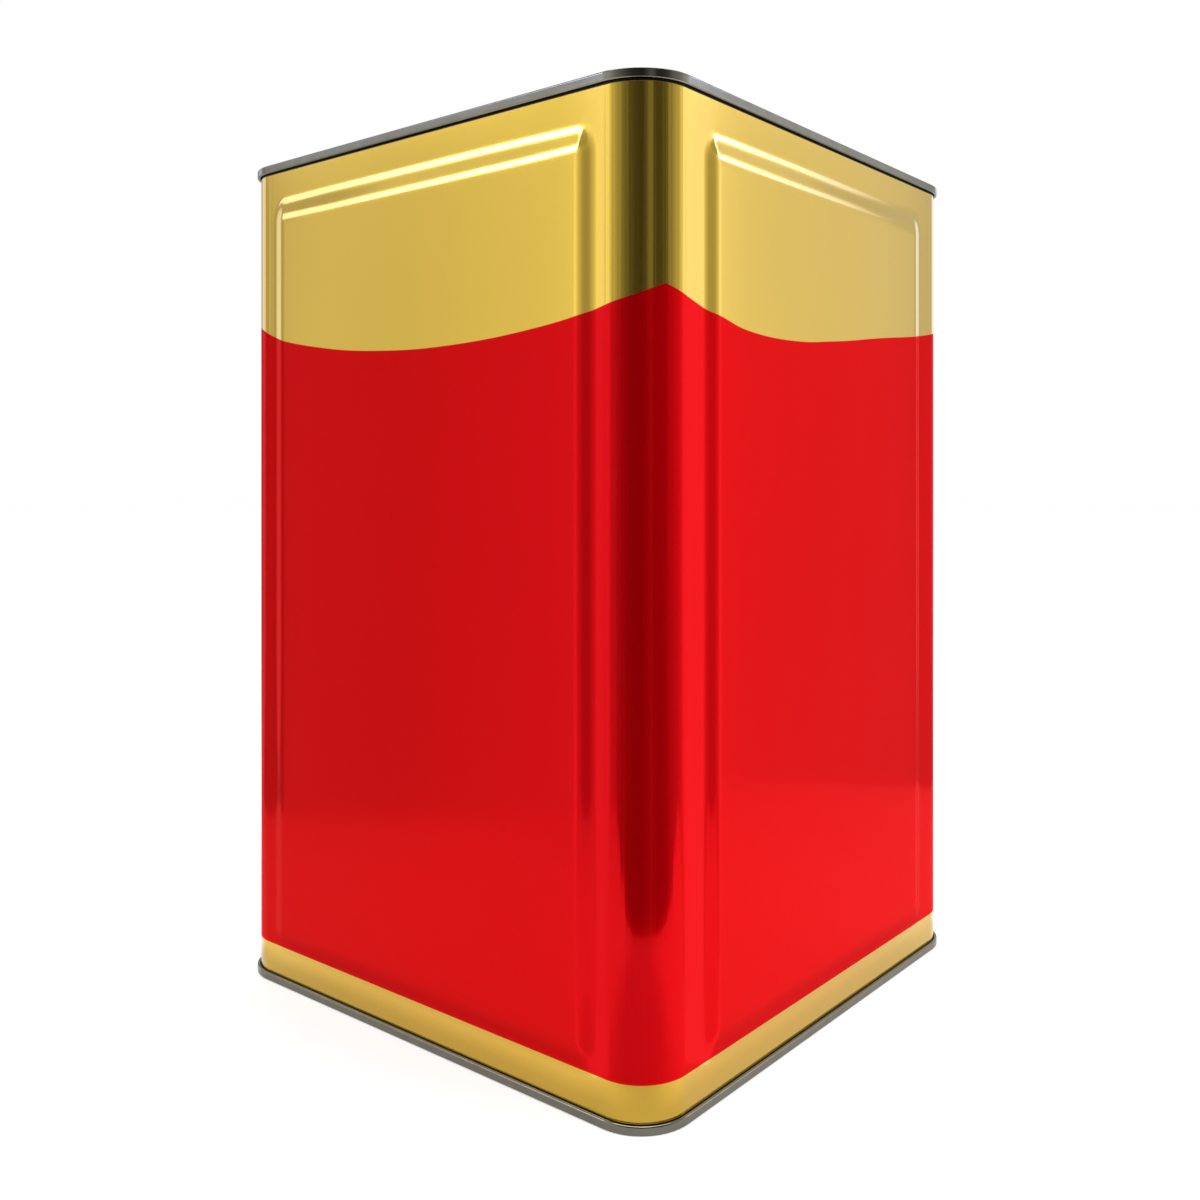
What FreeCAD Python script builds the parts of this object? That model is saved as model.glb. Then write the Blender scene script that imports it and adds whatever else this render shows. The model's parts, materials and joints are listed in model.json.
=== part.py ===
import FreeCAD, Part
import os
import Sketcher

# A tall square tinplate oil tin: four embossed walls, two double-seamed ends,
# a swing handle, and a pull-up pouring spout with a screw cap in one corner of the lid.
# Frame: origin at the middle of the base, +Z up, -Y and +X are the two walls in the photo.
# All sizes are millimetres.

SIZES = [
    # the sheet-metal box
    ("body_width", 235.0, "wall to wall, outside, away from the embossed panels"),
    ("tin_height", 362.0, "over both seams"),
    ("corner_radius", 19.5, "outside radius of the four upright corners"),
    ("body_sheet", 0.34, "tinplate of the walls"),
    ("end_sheet", 0.42, "tinplate of the two ends"),
    ("seam_gap", 0.15, "between neighbouring layers of a double seam"),
    ("seam_height", 3.4, "height of a double seam"),
    ("seam_bend", 0.65, "outside bend radius of a double seam"),
    ("compound_height", 0.5, "sealing compound inside a double seam"),
    ("compound_gap", 0.03, "left around the compound"),
    ("end_depth", 10.0, "countersink from the seam's rim to the end panel"),
    ("end_ring", 15.5, "width of the swept outer zone of an end"),
    ("bead_start", 6.0, "expansion groove of an end, from the wall's outside"),
    ("bead_width", 5.0, "expansion groove"),
    ("bead_depth", 1.3, "expansion groove"),
    ("weld_inset", 22.0, "side weld, from the corner's sharp edge"),
    ("weld_width", 1.2, "side weld"),
    ("weld_rise", 0.2, "side weld, proud of the wall"),
    ("front_panel_side", 24.4, "outline of the front and rear embossed panels, from the corner's sharp edge"),
    ("side_panel_side", 30.8, "outline of the left and right embossed panels, from the corner's sharp edge"),
    ("panel_end", 16.0, "embossed panel's outline, from the top and the base"),
    ("panel_slope", 6.4, "width of the sloping border along a panel's sides"),
    ("panel_end_slope", 8.8, "width of the sloping border at a panel's top and foot"),
    ("panel_rise", 1.5, "how far a panel stands out of its wall"),
    ("panel_corner", 6.0, "corner radius of a panel's outline"),
    ("face_corner", 3.0, "corner radius of a panel's raised face"),
    # the handle
    ("wire_radius", 2.1, "handle wire"),
    ("handle_width", 106.0, "handle wire, between the middles of its two arms"),
    ("handle_reach", 44.0, "handle wire, from its pivot to the middle of the grip"),
    ("arm_bend", 5.0, "wire bend beside an ear"),
    ("grip_bend", 9.0, "wire bend beside the grip"),
    ("pivot_height", 4.7, "handle pivot above the lid"),
    ("ear_inset", 11.0, "middle of an ear, from the middle of the wire's arm"),
    ("ear_length", 10.0, "ear along the pivot"),
    ("ear_sheet", 0.9, "strip that an ear is pressed from"),
    ("ear_foot", 6.0, "each welded foot of an ear"),
    ("pivot_clearance", 0.06, "wire in an ear, on the radius"),
    ("head_radius", 3.0, "upset end of the wire"),
    ("head_length", 1.2, "upset end of the wire"),
    ("head_play", 1.2, "upset end to its ear, along the pivot"),
    ("grip_radius", 4.2, "moulded grip"),
    ("grip_inset", 20.0, "end of the moulded grip, from the middle of the wire's arm"),
    ("grip_round", 1.0, "rounding of the grip's ends"),
    ("mould_gap", 0.02, "moulded grip on its wire, on the radius"),
    # the neck of the lid and what is crimped on it
    ("spout_inset", 45.5, "spout's axis from the two walls of its corner"),
    ("neck_radius", 24.6, "inside of the raised neck"),
    ("neck_height", 6.1, "neck above the lid"),
    ("curl_width", 1.9, "rolled edge of the neck"),
    ("gasket_thickness", 0.8, "ring seal on the neck"),
    ("seat_gap", 0.05, "between pieces that are pressed together"),
    ("collar_gap", 0.3, "collar in the neck, on the radius"),
    ("collar_wall", 2.8, "wall of the collar's well"),
    ("collar_flange", 1.0, "collar over the neck"),
    ("collar_skirt", 1.5, "outer skirt of the collar"),
    ("skirt_drop", 4.8, "outer skirt, down from the collar's top"),
    ("skirt_gap", 0.4, "outer skirt to the rolled edge, on the radius"),
    ("well_depth", 18.5, "collar's well, down from its top"),
    ("well_floor", 1.5, "floor of the well"),
    ("crimp_sheet", 0.4, "crimped ring"),
    ("crimp_gap", 0.1, "crimped ring to the collar"),
    ("crimp_lip", 1.5, "upper lip of the crimped ring, over the collar"),
    ("crimp_tuck", 2.4, "lower lip of the crimped ring, under the collar"),
    # the spout and its cap
    ("tube_radius", 12.5, "outside of the sliding spout"),
    ("tube_wall", 2.0, "wall of the sliding spout"),
    ("slide_clearance", 0.06, "spout in its sleeve, on the radius"),
    ("sleeve_wall", 2.0, "guide sleeve of the collar"),
    ("sleeve_length", 8.0, "guide sleeve, below the well's floor"),
    ("spout_travel", 22.0, "how far the spout pulls up"),
    ("stop_play", 0.3, "spout's stop to the sleeve, fully up"),
    ("stop_width", 2.7, "spout's stop flange, past the tube"),
    ("stop_thickness", 2.0, "spout's stop flange"),
    ("lip_drop", 1.6, "spout's lip below the collar's top"),
    ("band_height", 2.7, "tamper band"),
    ("band_play", 0.5, "tamper band: inside, above and below"),
    ("band_wall", 3.2, "tamper band"),
    ("keeper_width", 1.5, "rib that keeps the tamper band on the spout"),
    ("keeper_height", 1.0, "rib that keeps the tamper band on the spout"),
    ("thread_pitch", 3.0, "screw thread"),
    ("thread_turns", 1.75, "screw thread"),
    ("thread_depth", 1.2, "spout's thread, past the tube"),
    ("thread_crest", 0.7, "thread's width at its crest"),
    ("thread_root", 1.5, "thread's width at its root"),
    ("thread_start", 9.2, "middle of the spout's lowest thread, below its lip"),
    ("thread_clearance", 0.4, "cap to spout, on the radius"),
    ("cap_wall", 2.1, "skirt of the cap"),
    ("cap_top", 1.5, "top of the cap"),
    ("cap_round", 1.2, "rounding of the cap's top edge"),
    ("liner_thickness", 1.0, "sealing disc in the cap"),
    ("rib_count", 30, "grip ribs around the cap"),
    ("rib_width", 0.9, "grip rib"),
    ("rib_rise", 0.5, "grip rib"),
    ("rib_length", 8.0, "grip rib"),
    ("rib_inset", 0.7, "grip rib, from the cap's lower edge"),
    # the cap's two folding pull loops
    ("loop_wall", 1.2, "pull loop, across the ring"),
    ("loop_thickness", 1.6, "pull loop, up and down"),
    ("loop_gap", 0.5, "pull loops: to the ribs and to each other"),
    ("loop_drop", 2.8, "loops' pivot below the cap's top"),
    ("stud_radius", 1.25, "pivot stud of the loops"),
    ("stud_end", 0.2, "pivot stud, past the outer loop"),
    ("eye_wall", 0.95, "ring around a stud"),
    ("loop_clearance", 0.06, "stud in its eye, on the radius"),
]

doc = FreeCAD.newDocument("OilTin")
sheet = doc.addObject("Spreadsheet::Sheet", "Sizes")


class Size:
    """A number together with the spreadsheet formula that gives it."""

    def __init__(self, value, formula):
        self.value = float(value)
        self.formula = formula

    def __add__(self, other):
        other = as_size(other)
        return Size(self.value + other.value, f"({self.formula} + {other.formula})")

    def __sub__(self, other):
        other = as_size(other)
        return Size(self.value - other.value, f"({self.formula} - {other.formula})")

    def __mul__(self, other):
        other = as_size(other)
        return Size(self.value * other.value, f"({self.formula} * {other.formula})")

    def __truediv__(self, other):
        other = as_size(other)
        return Size(self.value / other.value, f"({self.formula} / {other.formula})")

    def __neg__(self):
        return Size(-self.value, f"(0 - {self.formula})")

    def __radd__(self, other):
        return as_size(other) + self

    def __rsub__(self, other):
        return as_size(other) - self

    def __rmul__(self, other):
        return as_size(other) * self


def as_size(number):
    """A plain number as a Size."""
    if isinstance(number, Size):
        return number
    return Size(number, f"({number})")


def fill_sheet():
    """Write every driving size into the spreadsheet and return them by alias."""
    sizes = {}
    for row, (alias, value, meaning) in enumerate(SIZES, start=1):
        sheet.set(f"A{row}", alias)
        sheet.set(f"B{row}", str(value))
        sheet.set(f"C{row}", meaning)
        sheet.setAlias(f"B{row}", alias)
        sizes[alias] = Size(value, f"Sizes.{alias}")
    doc.recompute()
    return sizes


def new_body(label):
    """An empty body that carries the node's name."""
    body = doc.addObject("PartDesign::Body", label)
    body.Label = label
    return body


def move_body(body, x=0.0, y=0.0, z=0.0):
    """Place a body by formulas."""
    for axis, distance in (("x", x), ("y", y), ("z", z)):
        body.setExpression(f"Placement.Base.{axis}", as_size(distance).formula)


def origin_item(body, role):
    """One of the body's own origin planes or axes."""
    return next(item for item in body.Origin.OriginFeatures if item.Role == role)


def new_sketch(body, name, plane, offset=0.0):
    """A sketch on one of the body's origin planes, moved along that plane's normal.

    On XZ_Plane the sketch's x and y are X and Z, and the normal is -Y.
    On YZ_Plane they are Y and Z, and the normal is +X.
    """
    sketch = body.newObject("Sketcher::SketchObject", name)
    sketch.AttachmentSupport = [(origin_item(body, plane), "")]
    sketch.MapMode = "FlatFace"
    sketch.setExpression("AttachmentOffset.Base.z", as_size(offset).formula)
    return sketch


def bind(sketch, kind, targets, size):
    """Add a dimension to a sketch and tie it to its formula."""
    index = sketch.addConstraint(Sketcher.Constraint(kind, *targets, size.value))
    sketch.setExpression(f"Constraints[{index}]", size.formula)


def pin_point(sketch, edge, end, x, y):
    """Hold one end of an edge at (x, y) from the sketch's origin."""
    bind(sketch, "DistanceX", (-1, 1, edge, end), x)
    bind(sketch, "DistanceY", (-1, 1, edge, end), y)


def step_towards(start, end, length):
    """The point at a length from start towards end, on a level or upright edge."""
    across = end[0].value - start[0].value
    along = end[1].value - start[1].value
    if abs(across) > abs(along):
        return (start[0] + length if across > 0 else start[0] - length, start[1])
    return (start[0], start[1] + length if along > 0 else start[1] - length)


def same_place(first, second):
    return abs(first[0].value - second[0].value) < 1e-6 and abs(first[1].value - second[1].value) < 1e-6


def route_stops(corners, closed):
    """Turn corners into a list of (point, radius of the arc that starts there or None)."""
    points = [(as_size(corner[0]), as_size(corner[1])) for corner in corners]
    stops = []
    for index, corner in enumerate(corners):
        last = len(corners) - 1
        inner = closed or 0 < index < last
        if len(corner) == 3 and inner:
            radius = as_size(corner[2])
            before = points[index - 1]
            after = points[(index + 1) % len(points)]
            arrive = step_towards(points[index], before, radius)
            leave = step_towards(points[index], after, radius)
            if stops and same_place(stops[-1][0], arrive):
                stops.pop()
            stops.append((arrive, (radius, points[index])))
            stops.append((leave, None))
        else:
            stops.append((points[index], None))
    if closed and same_place(stops[-1][0], stops[0][0]):
        stops.pop()
    return stops


def add_arc(sketch, start, end, radius, corner):
    """A quarter arc that rounds a corner. Returns the edge and the numbers of its two ends."""
    centre_x = start[0].value + end[0].value - corner[0].value
    centre_y = start[1].value + end[1].value - corner[1].value
    centre = FreeCAD.Vector(centre_x, centre_y, 0)
    first = FreeCAD.Vector(start[0].value, start[1].value, 0) - centre
    second = FreeCAD.Vector(end[0].value, end[1].value, 0) - centre
    turns_left = first.x * second.y - first.y * second.x > 0
    begin, finish = (first, second) if turns_left else (second, first)
    east = FreeCAD.Vector(1, 0, 0)
    north = FreeCAD.Vector(0, 0, 1)
    begin_angle = angle_about(north, east, begin)
    finish_angle = angle_about(north, east, finish)
    circle = Part.Circle(centre, north, radius.value)
    edge = sketch.addGeometry(Part.ArcOfCircle(circle, begin_angle, finish_angle), False)
    return edge, (1, 2) if turns_left else (2, 1)


def angle_about(axis, start, end):
    """Signed angle from start to end about an axis."""
    angle = start.getAngle(end)
    return angle if start.cross(end).dot(axis) >= 0 else -angle


def draw_route(sketch, corners, closed=True):
    """Draw straight edges between corners (x, y) or (x, y, rounding radius), all tied to formulas."""
    stops = route_stops(corners, closed)
    count = len(stops) if closed else len(stops) - 1
    drawn = []
    for index in range(count):
        start, rounding = stops[index]
        end = stops[(index + 1) % len(stops)][0]
        if rounding:
            edge, ends = add_arc(sketch, start, end, *rounding)
        else:
            first = FreeCAD.Vector(start[0].value, start[1].value, 0)
            second = FreeCAD.Vector(end[0].value, end[1].value, 0)
            edge, ends = sketch.addGeometry(Part.LineSegment(first, second), False), (1, 2)
        drawn.append((edge, ends))
    for index in range(count if closed else count - 1):
        edge, ends = drawn[index]
        following, following_ends = drawn[(index + 1) % count]
        joint = Sketcher.Constraint("Coincident", edge, ends[1], following, following_ends[0])
        sketch.addConstraint(joint)
    for index, (edge, ends) in enumerate(drawn):
        start, rounding = stops[index]
        pin_point(sketch, edge, ends[0], *start)
        if rounding:
            bind(sketch, "Radius", (edge,), rounding[0])
    if not closed:
        edge, ends = drawn[-1]
        pin_point(sketch, edge, ends[1], *stops[-1][0])


def draw_rectangle(sketch, left, right, low, high, radius=None):
    """A rectangle, with rounded corners if a radius is given."""
    rounding = () if radius is None else (radius,)
    corners = [(left, low), (right, low), (right, high), (left, high)]
    draw_route(sketch, [corner + rounding for corner in corners])


def draw_circle(sketch, radius, x=0.0, y=0.0):
    """A circle about (x, y)."""
    x, y = as_size(x), as_size(y)
    circle = Part.Circle(FreeCAD.Vector(x.value, y.value, 0), FreeCAD.Vector(0, 0, 1), radius.value)
    edge = sketch.addGeometry(circle, False)
    pin_point(sketch, edge, 3, x, y)
    bind(sketch, "Radius", (edge,), radius)


def add_pad(body, name, sketch, length):
    """Extrude a sketch along its plane's normal."""
    pad = body.newObject("PartDesign::Pad", name)
    pad.Profile = sketch
    pad.setExpression("Length", length.formula)
    doc.recompute()
    return pad


def add_turning(body, name, sketch, angle=360.0, backwards=False):
    """Revolve a sketch about its own upright axis."""
    turning = body.newObject("PartDesign::Revolution", name)
    turning.Profile = sketch
    turning.ReferenceAxis = (sketch, ["V_Axis"])
    turning.Angle = angle
    turning.Reversed = backwards
    doc.recompute()
    return turning


def add_sweep(body, name, profile, route):
    """Sweep a profile along a route."""
    sweep = body.newObject("PartDesign::AdditivePipe", name)
    sweep.Profile = profile
    sweep.Spine = (route, [])
    doc.recompute()
    return sweep


def add_loft(body, kind, name, first, second):
    """Loft between two sketches, adding or cutting."""
    loft = body.newObject(f"PartDesign::{kind}", name)
    loft.Profile = first
    loft.Sections = [second]
    loft.Ruled = True
    doc.recompute()
    return loft


def add_thread(body, name, sketch, pitch, turns):
    """Wind a sketch up around its own upright axis."""
    thread = body.newObject("PartDesign::AdditiveHelix", name)
    thread.Profile = sketch
    thread.ReferenceAxis = (sketch, ["V_Axis"])
    thread.Mode = "pitch-turns-angle"
    thread.setExpression("Pitch", pitch.formula)
    thread.setExpression("Turns", turns.formula)
    doc.recompute()
    return thread


def add_ring_pattern(body, name, originals, count):
    """Repeat features around the body's Z axis."""
    pattern = body.newObject("PartDesign::PolarPattern", name)
    pattern.Originals = originals
    pattern.Axis = (origin_item(body, "Z_Axis"), [""])
    pattern.Angle = 360.0
    pattern.setExpression("Occurrences", as_size(count).formula)
    body.Tip = pattern
    doc.recompute()
    return pattern


def add_mirror(body, name, originals):
    """Repeat features on the other side of the body's YZ plane."""
    mirror = body.newObject("PartDesign::Mirrored", name)
    mirror.Originals = originals
    mirror.MirrorPlane = (origin_item(body, "YZ_Plane"), [""])
    body.Tip = mirror
    doc.recompute()
    return mirror


def add_rounding(body, name, edges, radius):
    """Fillet some edges of the body's last feature."""
    base = body.Tip
    names = [f"Edge{index}" for index, edge in enumerate(base.Shape.Edges, start=1) if edges(edge)]
    rounding = body.newObject("PartDesign::Fillet", name)
    rounding.Base = (base, names)
    rounding.setExpression("Radius", radius.formula)
    doc.recompute()
    return rounding


def circle_edges_at(axis, place, radius=None):
    """A test for round edges that lie in one plane across an axis."""
    def test(edge):
        if not isinstance(edge.Curve, Part.Circle):
            return False
        level = getattr(edge.Curve.Center, axis)
        right_size = radius is None or abs(edge.Curve.Radius - radius.value) < 1e-4
        return abs(level - place.value) < 1e-4 and right_size
    return test


size = fill_sheet()

# The box
body_half = size["body_width"] / 2
body_sheet = size["body_sheet"]
end_sheet = size["end_sheet"]
seam_gap = size["seam_gap"]
tin_height = size["tin_height"]

# Layers of a double seam, outwards from the wall's outside
cover_hook_in = seam_gap
cover_hook_out = cover_hook_in + end_sheet
body_hook_in = cover_hook_out + seam_gap
body_hook_out = body_hook_in + body_sheet
seam_in = body_hook_out + seam_gap
seam_out = seam_in + end_sheet
chuck_wall_out = -(body_sheet + seam_gap)
chuck_wall_in = chuck_wall_out - end_sheet

# Levels of a double seam, inwards from its rim
flange_level = end_sheet + seam_gap
hook_roof = flange_level + body_sheet
cover_hook_end = hook_roof + size["compound_height"] + size["compound_gap"] * 2
seam_foot = size["seam_height"]
body_hook_end = seam_foot - end_sheet - seam_gap
panel_level = size["end_depth"]

# The lid's upper face, which the handle and the spout stand on
lid_level = tin_height - panel_level
spout_offset = body_half - size["spout_inset"]


def from_top(depth):
    return tin_height - depth


def from_base(depth):
    return as_size(depth)


def box_route(body):
    """The wall's outside outline, started at the middle of the rear wall."""
    route = new_sketch(body, body.Name + "Route", "XY_Plane")
    radius = size["corner_radius"]
    draw_route(route, [
        (0.0, body_half),
        (-body_half, body_half, radius),
        (-body_half, -body_half, radius),
        (body_half, -body_half, radius),
        (body_half, body_half, radius),
    ])
    return route


def draw_section(body, name, corners):
    """A profile given by distance out of the wall and height, drawn where the route starts."""
    section = new_sketch(body, name, "YZ_Plane")
    draw_route(section, [(body_half + corner[0], *corner[1:]) for corner in corners])
    return section


def make_body_shell():
    """The rolled and welded wall with its two hooks, four raised panels and the weld."""
    body = new_body("body_shell")
    route = box_route(body)
    hook = [
        (-body_sheet, flange_level),
        (body_hook_out, flange_level, body_sheet),
        (body_hook_out, body_hook_end),
        (body_hook_in, body_hook_end),
        (body_hook_in, hook_roof),
        (0.0, hook_roof),
    ]
    upper = [(corner[0], from_top(corner[1]), *corner[2:]) for corner in hook]
    lower = [(corner[0], from_base(corner[1]), *corner[2:]) for corner in reversed(hook)]
    add_sweep(body, "Wall", draw_section(body, "WallSection", upper + lower), route)

    low = size["panel_end"]
    high = tin_height - low
    slope = size["panel_slope"]
    end_slope = size["panel_end_slope"]
    flat = as_size(0.0)
    front = size["panel_rise"]
    back = -(body_sheet / 2)

    def raise_panels(name, plane, side):
        """A raised panel on one wall, and its like on the wall opposite."""
        half_width = body_half - side

        def outline(part, depth, inset, end_inset, corner):
            sketch = new_sketch(body, name + part, plane, body_half + depth)
            draw_rectangle(sketch, inset - half_width, half_width - inset, low + end_inset, high - end_inset, corner)
            return sketch

        foot = outline("Foot", back, flat, flat, size["panel_corner"])
        face = outline("Face", front, slope, end_slope, size["face_corner"])
        raised = add_loft(body, "AdditiveLoft", name + "Raised", foot, face)
        hollow_foot = outline("HollowFoot", back - body_sheet, flat, flat, size["panel_corner"])
        hollow_face = outline("HollowFace", front - body_sheet, slope, end_slope, size["face_corner"])
        hollow = add_loft(body, "SubtractiveLoft", name + "Hollow", hollow_foot, hollow_face)
        add_ring_pattern(body, name + "Pair", [raised, hollow], 2)

    raise_panels("FrontPanel", "XZ_Plane", size["front_panel_side"])
    raise_panels("SidePanel", "YZ_Plane", size["side_panel_side"])

    weld = new_sketch(body, "WeldOutline", "XZ_Plane", -(body_half + size["weld_rise"]))
    weld_middle = size["weld_inset"] - body_half
    weld_half = size["weld_width"] / 2
    draw_rectangle(weld, weld_middle - weld_half, weld_middle + weld_half,
                   seam_foot + seam_gap, tin_height - seam_foot - seam_gap)
    add_pad(body, "SideWeld", weld, size["weld_rise"] + body_sheet / 2)
    return body


def end_section(level):
    """Profile of an end: cover hook, seam wall, chuck wall, expansion groove and panel edge."""
    bend = size["seam_bend"]
    inside = bend - end_sheet
    groove_out = -size["bead_start"]
    groove_in = groove_out - size["bead_width"]
    groove_floor = panel_level + size["bead_depth"]
    ring_in = -size["end_ring"]
    under = panel_level + end_sheet
    corners = [
        (cover_hook_out, cover_hook_end),
        (cover_hook_in, cover_hook_end),
        (cover_hook_in, seam_foot, bend),
        (seam_out, seam_foot, bend),
        (seam_out, 0.0, bend),
        (chuck_wall_in, 0.0, bend),
        (chuck_wall_in, panel_level, inside),
        (groove_out, panel_level),
        (groove_out, groove_floor),
        (groove_in, groove_floor),
        (groove_in, panel_level),
        (ring_in, panel_level),
        (ring_in, under),
        (groove_in - end_sheet, under),
        (groove_in - end_sheet, groove_floor + end_sheet),
        (groove_out + end_sheet, groove_floor + end_sheet),
        (groove_out + end_sheet, under),
        (chuck_wall_out, under, bend),
        (chuck_wall_out, end_sheet, inside),
        (seam_in, end_sheet, inside),
        (seam_in, seam_foot - end_sheet, inside),
        (cover_hook_out, seam_foot - end_sheet, inside),
    ]
    return [(corner[0], level(corner[1]), *corner[2:]) for corner in corners]


def make_end(label, level, lowest, hole=None):
    """One end of the tin. level turns a depth from the rim into a height; hole is (radius, x, y)."""
    body = new_body(label)
    add_sweep(body, "Rim", draw_section(body, "RimSection", end_section(level)), box_route(body))
    overlap = size["end_ring"] - size["bead_start"] - size["bead_width"] - end_sheet * 2
    half = body_half - size["end_ring"] + overlap
    corner = size["corner_radius"] - size["end_ring"] + overlap
    panel = new_sketch(body, "PanelOutline", "XY_Plane", lowest)
    draw_rectangle(panel, -half, half, -half, half, corner)
    if hole:
        draw_circle(panel, *hole)
    add_pad(body, "Panel", panel, end_sheet)
    return body


def make_top_end():
    """The lid, with the raised and rolled neck that carries the spout."""
    place = (-spout_offset, spout_offset)
    body = make_end("top_end", from_top, lid_level - end_sheet, (size["neck_radius"], *place))
    neck = new_sketch(body, "NeckOutline", "XY_Plane", lid_level - end_sheet)
    draw_circle(neck, size["neck_radius"], *place)
    draw_circle(neck, size["neck_radius"] + end_sheet, *place)
    add_pad(body, "Neck", neck, size["neck_height"] + end_sheet)
    curl_foot = lid_level + size["neck_height"] - size["curl_width"]
    curl = new_sketch(body, "CurlOutline", "XY_Plane", curl_foot)
    draw_circle(curl, size["neck_radius"], *place)
    draw_circle(curl, size["neck_radius"] + size["curl_width"], *place)
    add_pad(body, "Curl", curl, size["curl_width"])
    outside = size["neck_radius"] + size["curl_width"]
    for name, place_up in (("CurlTop", curl_foot + size["curl_width"]), ("CurlFoot", curl_foot)):
        add_rounding(body, name, circle_edges_at("z", place_up, outside), size["curl_width"] * 0.4)
    return body


def make_compound(label, level):
    """The sealing compound that lies in a double seam, over the cover hook."""
    body = new_body(label)
    gap = size["compound_gap"]
    corners = [
        (gap, hook_roof + gap),
        (body_hook_in - gap, hook_roof + gap),
        (body_hook_in - gap, hook_roof + gap + size["compound_height"]),
        (gap, hook_roof + gap + size["compound_height"]),
    ]
    section = draw_section(body, label + "_section", [(u, level(depth)) for u, depth in corners])
    add_sweep(body, "Ring", section, box_route(body))
    return body


# The handle, in a frame on its pivot's middle
wire_radius = size["wire_radius"]
pivot_height = size["pivot_height"]
arm_middle = size["handle_width"] / 2
ear_middle = arm_middle - size["ear_inset"]
stub_end = ear_middle - size["ear_length"] / 2 - size["head_play"]


def make_ear(label, side):
    """A pressed saddle, spot-welded to the lid, that the wire turns in."""
    body = new_body(label)
    bore = wire_radius + size["pivot_clearance"]
    outside = bore + size["ear_sheet"]
    foot = outside + size["ear_foot"]
    foot_top = size["ear_sheet"]
    middle = ear_middle * side
    outline = new_sketch(body, "SaddleOutline", "YZ_Plane", middle - size["ear_length"] / 2)
    draw_route(outline, [
        (-foot, 0.0),
        (-bore, 0.0),
        (-bore, pivot_height + bore, bore),
        (bore, pivot_height + bore, bore),
        (bore, 0.0),
        (foot, 0.0),
        (foot, foot_top),
        (outside, foot_top),
        (outside, pivot_height + outside, outside),
        (-outside, pivot_height + outside, outside),
        (-outside, foot_top),
        (-foot, foot_top),
    ])
    add_pad(body, "Saddle", outline, size["ear_length"])
    move_body(body, z=lid_level)
    return body


def make_handle_wire():
    """The bent wire, lying towards the front wall, with an upset head inside each ear."""
    body = new_body("handle_wire")
    route = new_sketch(body, "WireRoute", "XY_Plane")
    reach = size["handle_reach"]
    draw_route(route, [
        (-stub_end, 0.0),
        (-arm_middle, 0.0, size["arm_bend"]),
        (-arm_middle, -reach, size["grip_bend"]),
        (arm_middle, -reach, size["grip_bend"]),
        (arm_middle, 0.0, size["arm_bend"]),
        (stub_end, 0.0),
    ], closed=False)
    profile = new_sketch(body, "WireProfile", "YZ_Plane", -stub_end)
    draw_circle(profile, wire_radius)
    add_sweep(body, "Wire", profile, route)
    head_outline = new_sketch(body, "HeadOutline", "YZ_Plane", -stub_end)
    draw_circle(head_outline, size["head_radius"])
    head = add_pad(body, "Head", head_outline, size["head_length"])
    add_mirror(body, "BothHeads", [head])
    move_body(body, z=lid_level + pivot_height)
    return body


def make_handle_grip():
    """The plastic grip moulded on the middle of the wire."""
    body = new_body("handle_grip")
    half = arm_middle - size["grip_inset"]
    outline = new_sketch(body, "GripOutline", "YZ_Plane", -half)
    draw_circle(outline, size["grip_radius"], -size["handle_reach"], 0.0)
    draw_circle(outline, wire_radius + size["mould_gap"], -size["handle_reach"], 0.0)
    add_pad(body, "Grip", outline, half * 2)
    for name, end in (("LeftRound", -half), ("RightRound", half)):
        add_rounding(body, name, circle_edges_at("x", end, size["grip_radius"]), size["grip_round"])
    move_body(body, z=lid_level + pivot_height)
    return body


# The spout, in a frame on its own axis at the lid's upper face
neck_top = size["neck_height"]
gasket_foot = neck_top + size["seat_gap"]
gasket_top = gasket_foot + size["gasket_thickness"]
flange_under = gasket_top + size["seat_gap"]
collar_top = flange_under + size["collar_flange"]
curl_radius = size["neck_radius"] + size["curl_width"]
collar_out = size["neck_radius"] - size["collar_gap"]
well_radius = collar_out - size["collar_wall"]
skirt_in = curl_radius + size["skirt_gap"]
skirt_out = skirt_in + size["collar_skirt"]
skirt_foot = collar_top - size["skirt_drop"]
well_bottom = collar_top - size["well_depth"]
floor_under = well_bottom - size["well_floor"]
sleeve_foot = floor_under - size["sleeve_length"]
tube_radius = size["tube_radius"]
tube_bore = tube_radius - size["tube_wall"]
sleeve_bore = tube_radius + size["slide_clearance"]
tube_top = collar_top - size["lip_drop"]
stop_top = sleeve_foot - size["spout_travel"] - size["stop_play"]
tube_foot = stop_top - size["stop_thickness"]
band_foot = well_bottom + size["band_play"]
band_top = band_foot + size["band_height"]
band_in = tube_radius + size["band_play"]
band_out = band_in + size["band_wall"]
keeper_foot = band_top + size["band_play"]
keeper_top = keeper_foot + size["keeper_height"]
thread_radius = tube_radius + size["thread_depth"]
cap_bore = thread_radius + size["thread_clearance"]
cap_out = cap_bore + size["cap_wall"]
cap_foot = keeper_top + size["band_play"]
liner_foot = tube_top + size["seat_gap"]
cap_ceiling = liner_foot + size["liner_thickness"] + size["seat_gap"]
cap_peak = cap_ceiling + size["cap_top"]
loop_level = cap_peak - size["loop_drop"]
loop_in = cap_out + size["rib_rise"] + size["loop_gap"]
outer_loop_in = loop_in + size["loop_wall"] + size["loop_gap"]
stud_tip = outer_loop_in + size["loop_wall"] + size["stud_end"]


def place_on_spout(body):
    move_body(body, -spout_offset, spout_offset, lid_level)
    return body


def make_turned(label, corners):
    """A ring or cup turned about the spout's axis from a list of (radius, height)."""
    body = new_body(label)
    section = new_sketch(body, label + "_section", "XZ_Plane")
    draw_route(section, corners)
    add_turning(body, "Turned", section)
    return body


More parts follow.
